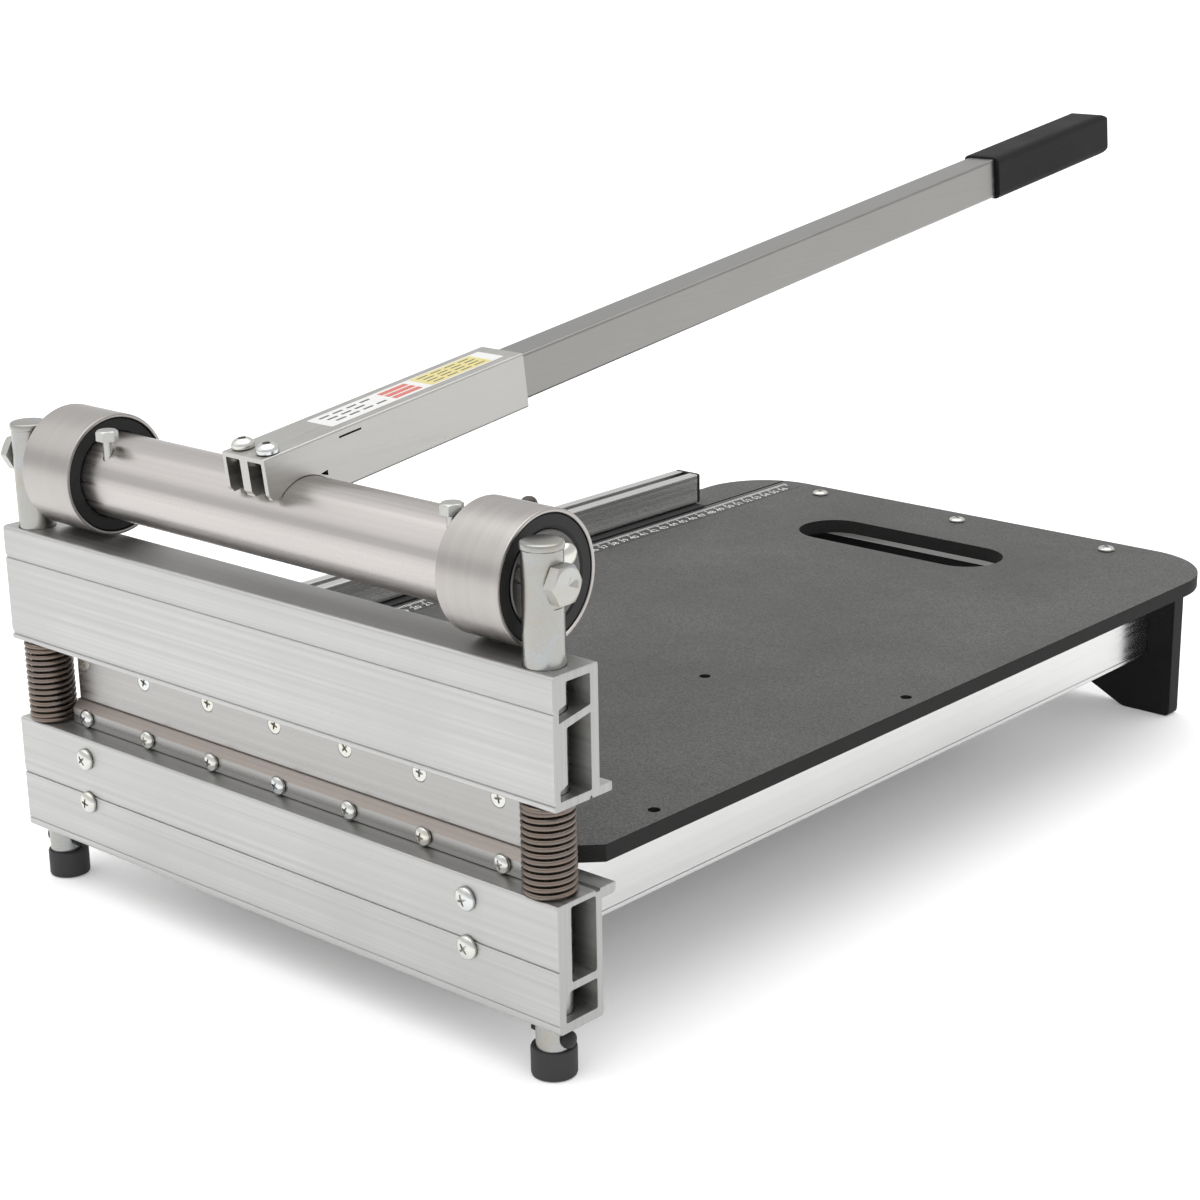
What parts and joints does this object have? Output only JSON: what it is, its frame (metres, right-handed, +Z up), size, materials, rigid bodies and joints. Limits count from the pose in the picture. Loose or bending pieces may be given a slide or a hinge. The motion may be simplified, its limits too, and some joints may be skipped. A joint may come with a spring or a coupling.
{
  "type": "tile cutter",
  "caption": "Lever shear for floor tiles: sprung cutting head on two posts, eccentric roller tube with long handle, flat table with side fence.",
  "frame": {"origin": "middle of the overall footprint, on the floor", "axes": "+X along the two beams, +Y from the head back over the table, +Z up"},
  "size_m": [0.4, 0.769, 0.3608],
  "materials": {
    "bar": "brushed",
    "beam": "brushed",
    "board": "laminate",
    "bush": "matte",
    "crossbar": "mill",
    "fence": "satin",
    "fence_trim": "matte",
    "foot": "matte",
    "grip": "matte",
    "holder": "satin",
    "knife": "ground",
    "knob": "satin",
    "leg": "black laminate",
    "post": "zinc plated",
    "rail": "bright",
    "roller": "satin",
    "screw": "zinc plated",
    "socket": "satin",
    "spring": "oil dark",
    "tube": "satin"
  },
  "bodies": {
    "base": {"anvil_bar": "knife", "anvil_screw_1": "screw", "anvil_screw_2": "screw", "anvil_screw_3": "screw", "anvil_screw_4": "screw", "anvil_screw_5": "screw", "anvil_screw_6": "screw", "anvil_screw_7": "screw", "fence_bar": "fence", "fence_base_strip": "fence_trim", "fence_end_cap": "fence_trim", "front_screw_1": "screw", "front_screw_2": "screw", "front_screw_3": "screw", "front_screw_4": "screw", "left_foot": "foot", "left_foot_pin": "screw", "left_pivot_bolt": "screw", "left_post": "post", "left_rail": "rail", "left_spring": "spring", "lower_beam": "beam", "rear_crossbar": "crossbar", "rear_leg": "leg", "right_foot": "foot", "right_foot_pin": "screw", "right_pivot_bolt": "screw", "right_post": "post", "right_rail": "rail", "right_spring": "spring", "table_board": "board", "table_screw_1": "screw", "table_screw_2": "screw", "table_screw_3": "screw"},
    "head": {"upper_beam": "beam", "upper_blade": "knife", "blade_holder": "holder", "blade_screw_1": "screw", "blade_screw_2": "screw", "blade_screw_3": "screw", "blade_screw_4": "screw", "blade_screw_5": "screw", "blade_screw_6": "screw", "blade_screw_7": "screw"},
    "lever": {"cross_tube": "tube", "left_bush": "bush", "right_bush": "bush", "left_end_plug": "tube", "right_end_plug": "tube", "left_set_bolt": "screw", "right_set_bolt": "screw", "handle_socket": "socket", "socket_bolt_1": "screw", "socket_bolt_2": "screw", "handle_tube": "bar", "handle_grip": "grip"},
    "left_roller": {"left_roller": "roller"},
    "right_roller": {"right_roller": "roller"},
    "fence_knob": {"fence_knob": "knob"}
  },
  "joints": [
    {"name": "lever_pivot", "type": "hinge", "parent": "base", "child": "lever", "pos_m": [0, -0.36865, 0.2387], "axis": [1, 0, 0], "range_deg": [0, 95]},
    {"name": "head_slide", "type": "slide", "parent": "base", "child": "head", "axis": [0, 0, 1], "range_m": [0, 0.0227], "stiffness_N_per_m": 1000, "springref_m": 0.06, "deforming": ["left_spring", "right_spring"]},
    {"name": "left_roller_spin", "type": "hinge", "parent": "lever", "child": "left_roller", "pos_m": [-0.1529, -0.35245, 0.23275], "axis": [1, 0, 0], "continuous": true},
    {"name": "right_roller_spin", "type": "hinge", "parent": "lever", "child": "right_roller", "pos_m": [0.1529, -0.35245, 0.23275], "axis": [1, 0, 0], "continuous": true},
    {"name": "fence_knob_turn", "type": "hinge", "parent": "base", "child": "fence_knob", "pos_m": [-0.172, -0.00255, 0.135], "axis": [0, 0, 1], "continuous": true}
  ],
  "couplings": [
    {"joint": "head_slide", "follows": "lever_pivot", "m_per_rad": 0.01363}
  ]
}
